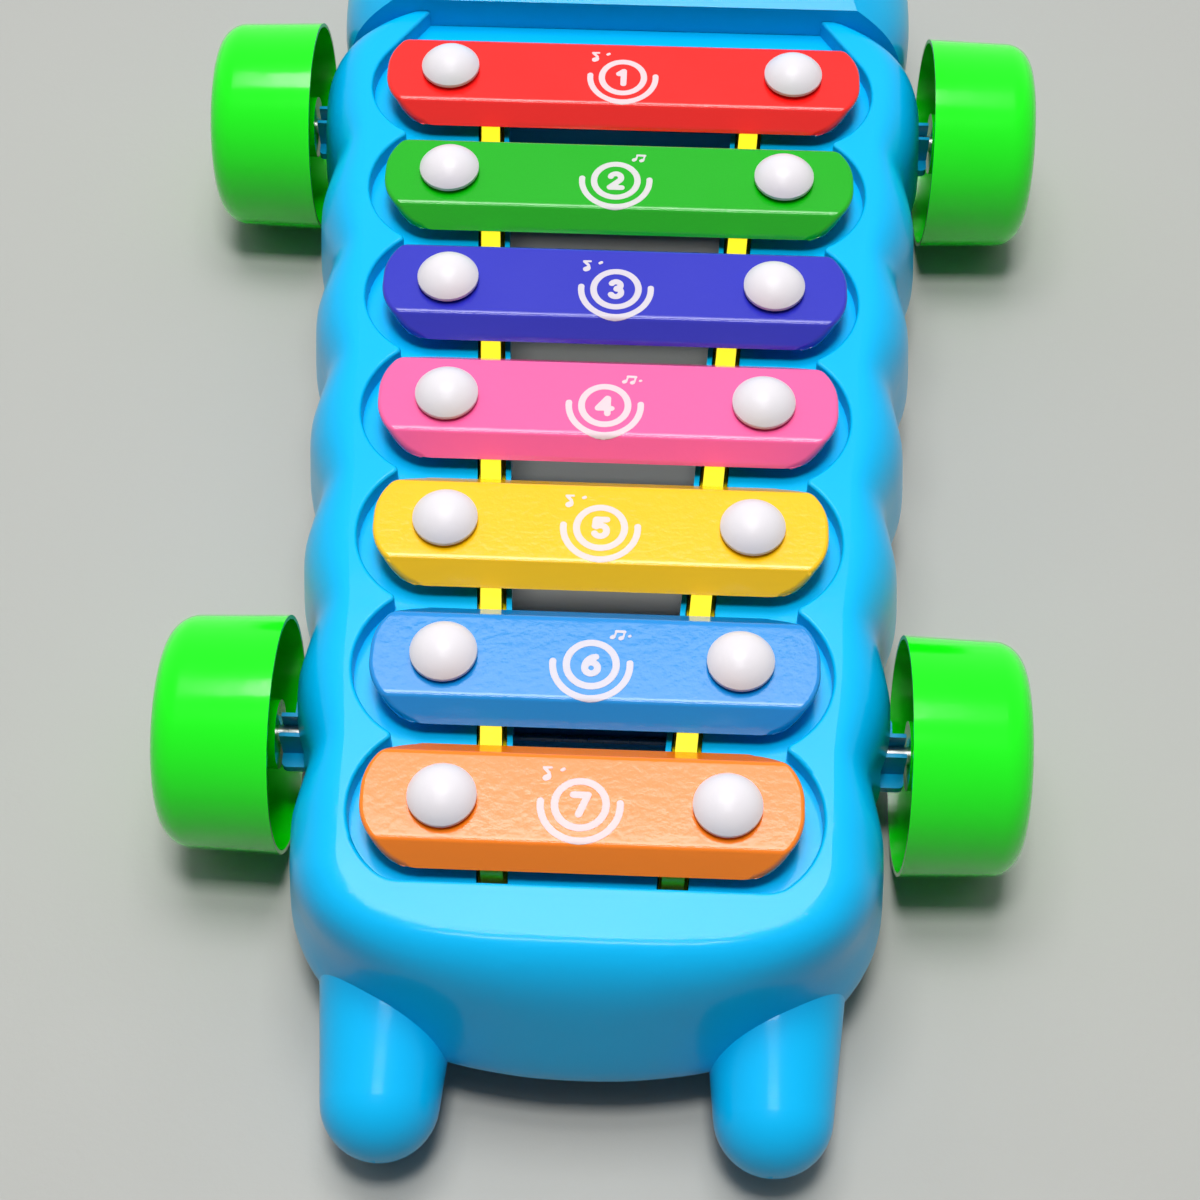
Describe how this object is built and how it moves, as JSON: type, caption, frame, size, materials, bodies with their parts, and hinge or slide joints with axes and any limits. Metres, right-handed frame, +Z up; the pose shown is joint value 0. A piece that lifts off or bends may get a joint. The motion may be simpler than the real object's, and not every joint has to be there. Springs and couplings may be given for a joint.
{
  "type": "pull-along xylophone",
  "caption": "Toy xylophone on wheels: stepped metal bars nailed over soft rails in a moulded blue body with an animal head and rear feet.",
  "frame": {"origin": "on the floor under the middle of the toy's length and width", "axes": "+Z up, +Y towards the head (the way the toy is pulled), +X to the toy's right"},
  "size_m": [0.1642, 0.3026, 0.077],
  "materials": {
    "shell_blue": "smooth moulded plastic with a soft gloss",
    "head_blue": "smooth moulded plastic with a soft gloss",
    "nail_white": "satin moulded plastic",
    "rail_yellow": "satin moulded plastic",
    "wheel_green": "smooth moulded plastic with a soft gloss",
    "carrier_blue": "smooth moulded plastic with a soft gloss",
    "axle_steel": "drawn steel rod",
    "screw_steel": "zinc plated steel",
    "eye_black": "polished plastic",
    "bar_red": "glossy stoved lacquer",
    "bar_green": "glossy stoved lacquer",
    "bar_indigo": "glossy stoved lacquer",
    "bar_pink": "glossy stoved lacquer",
    "bar_yellow": "glossy stoved lacquer",
    "bar_sky": "glossy stoved lacquer",
    "bar_orange": "glossy stoved lacquer"
  },
  "bodies": {
    "chassis": {"body_shell": "shell_blue", "head_shell": "head_blue", "right_rail": "rail_yellow", "left_rail": "rail_yellow", "head_screws": "screw_steel", "right_eye": "eye_black", "left_eye": "eye_black", "bar_1_nails": "nail_white", "bar_2_nails": "nail_white", "bar_3_nails": "nail_white", "bar_4_nails": "nail_white", "bar_5_nails": "nail_white", "bar_6_nails": "nail_white", "bar_7_nails": "nail_white", "front_axle_carrier": "carrier_blue", "front_carrier_screws": "screw_steel", "rear_axle_carrier": "carrier_blue", "rear_carrier_screws": "screw_steel"},
    "front_axle_set": {"front_axle": "axle_steel", "front_right_wheel": "wheel_green", "front_left_wheel": "wheel_green"},
    "rear_axle_set": {"rear_axle": "axle_steel", "rear_right_wheel": "wheel_green", "rear_left_wheel": "wheel_green"},
    "bar_1_plate": {"bar_1": "bar_red"},
    "bar_2_plate": {"bar_2": "bar_green"},
    "bar_3_plate": {"bar_3": "bar_indigo"},
    "bar_4_plate": {"bar_4": "bar_pink"},
    "bar_5_plate": {"bar_5": "bar_yellow"},
    "bar_6_plate": {"bar_6": "bar_sky"},
    "bar_7_plate": {"bar_7": "bar_orange"}
  },
  "joints": [
    {"name": "front_axle_spin", "type": "hinge", "parent": "chassis", "child": "front_axle_set", "pos_m": [0, 0.0603, 0.0206], "axis": [1, 0, 0], "continuous": true},
    {"name": "rear_axle_spin", "type": "hinge", "parent": "chassis", "child": "rear_axle_set", "pos_m": [0, -0.07995, 0.0206], "axis": [1, 0, 0], "continuous": true},
    {"name": "bar_1_lift", "type": "slide", "parent": "chassis", "child": "bar_1_plate", "axis": [0, 0, 1], "range_m": [0, 0.0005]},
    {"name": "bar_2_lift", "type": "slide", "parent": "chassis", "child": "bar_2_plate", "axis": [0, 0, 1], "range_m": [0, 0.0005]},
    {"name": "bar_3_lift", "type": "slide", "parent": "chassis", "child": "bar_3_plate", "axis": [0, 0, 1], "range_m": [0, 0.0005]},
    {"name": "bar_4_lift", "type": "slide", "parent": "chassis", "child": "bar_4_plate", "axis": [0, 0, 1], "range_m": [0, 0.0005]},
    {"name": "bar_5_lift", "type": "slide", "parent": "chassis", "child": "bar_5_plate", "axis": [0, 0, 1], "range_m": [0, 0.0005]},
    {"name": "bar_6_lift", "type": "slide", "parent": "chassis", "child": "bar_6_plate", "axis": [0, 0, 1], "range_m": [0, 0.0005]},
    {"name": "bar_7_lift", "type": "slide", "parent": "chassis", "child": "bar_7_plate", "axis": [0, 0, 1], "range_m": [0, 0.0005]}
  ]
}
